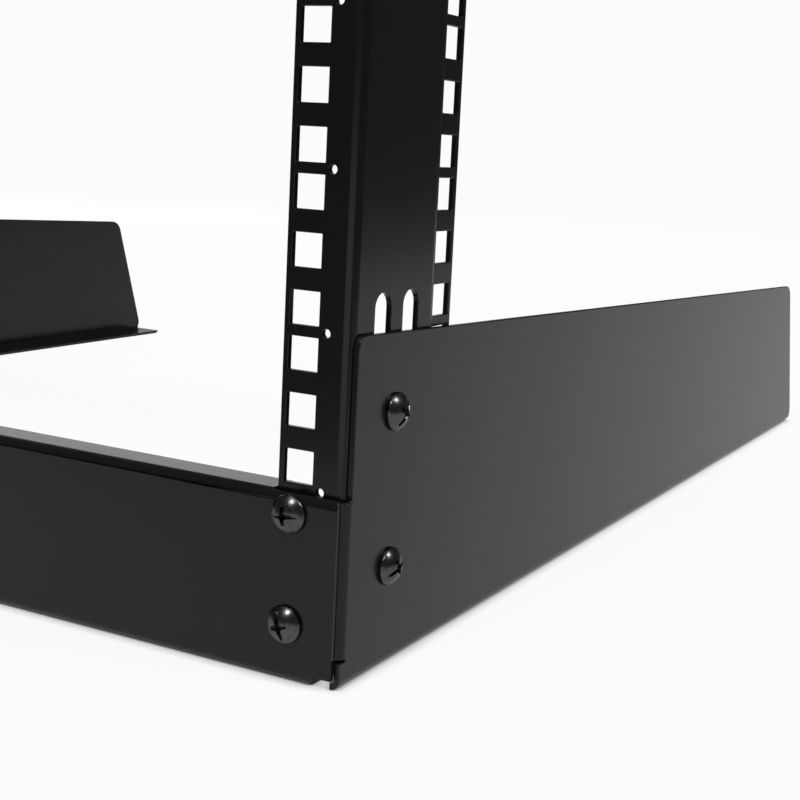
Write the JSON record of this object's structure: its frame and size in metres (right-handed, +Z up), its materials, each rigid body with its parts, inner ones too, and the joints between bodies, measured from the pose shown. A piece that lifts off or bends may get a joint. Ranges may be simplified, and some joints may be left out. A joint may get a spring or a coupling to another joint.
{
  "type": "desktop two post rack",
  "caption": "Open desktop equipment rack: two folded sheet steel posts with square holes, cross bars at foot and head, tapered side plates as feet.",
  "frame": {"origin": "centre of the outline on the floor", "axes": "+X to the right seen from the front, +Y towards the back, +Z up"},
  "size_m": [0.5074, 0.5086, 0.4648],
  "materials": {
    "powder_coat": "fine satin powder coat",
    "black_screw": "black passivated, semi gloss",
    "black_nut": "black passivated"
  },
  "bodies": {
    "root": {"front_bar": "powder_coat", "front_bar_left_lower_nut": "black_nut", "front_bar_left_lower_screw": "black_screw", "front_bar_left_upper_nut": "black_nut", "front_bar_left_upper_screw": "black_screw", "front_bar_right_lower_nut": "black_nut", "front_bar_right_lower_screw": "black_screw", "front_bar_right_upper_nut": "black_nut", "front_bar_right_upper_screw": "black_screw", "post_left": "powder_coat", "post_right": "powder_coat", "side_plate_left": "powder_coat", "side_plate_left_lower_nut": "black_nut", "side_plate_left_lower_screw": "black_screw", "side_plate_left_upper_nut": "black_nut", "side_plate_left_upper_screw": "black_screw", "side_plate_right": "powder_coat", "side_plate_right_lower_nut": "black_nut", "side_plate_right_lower_screw": "black_screw", "side_plate_right_upper_nut": "black_nut", "side_plate_right_upper_screw": "black_screw", "top_bar": "powder_coat", "top_bar_left_lower_nut": "black_nut", "top_bar_left_lower_screw": "black_screw", "top_bar_left_upper_nut": "black_nut", "top_bar_left_upper_screw": "black_screw", "top_bar_right_lower_nut": "black_nut", "top_bar_right_lower_screw": "black_screw", "top_bar_right_upper_nut": "black_nut", "top_bar_right_upper_screw": "black_screw"}
  },
  "joints": []
}
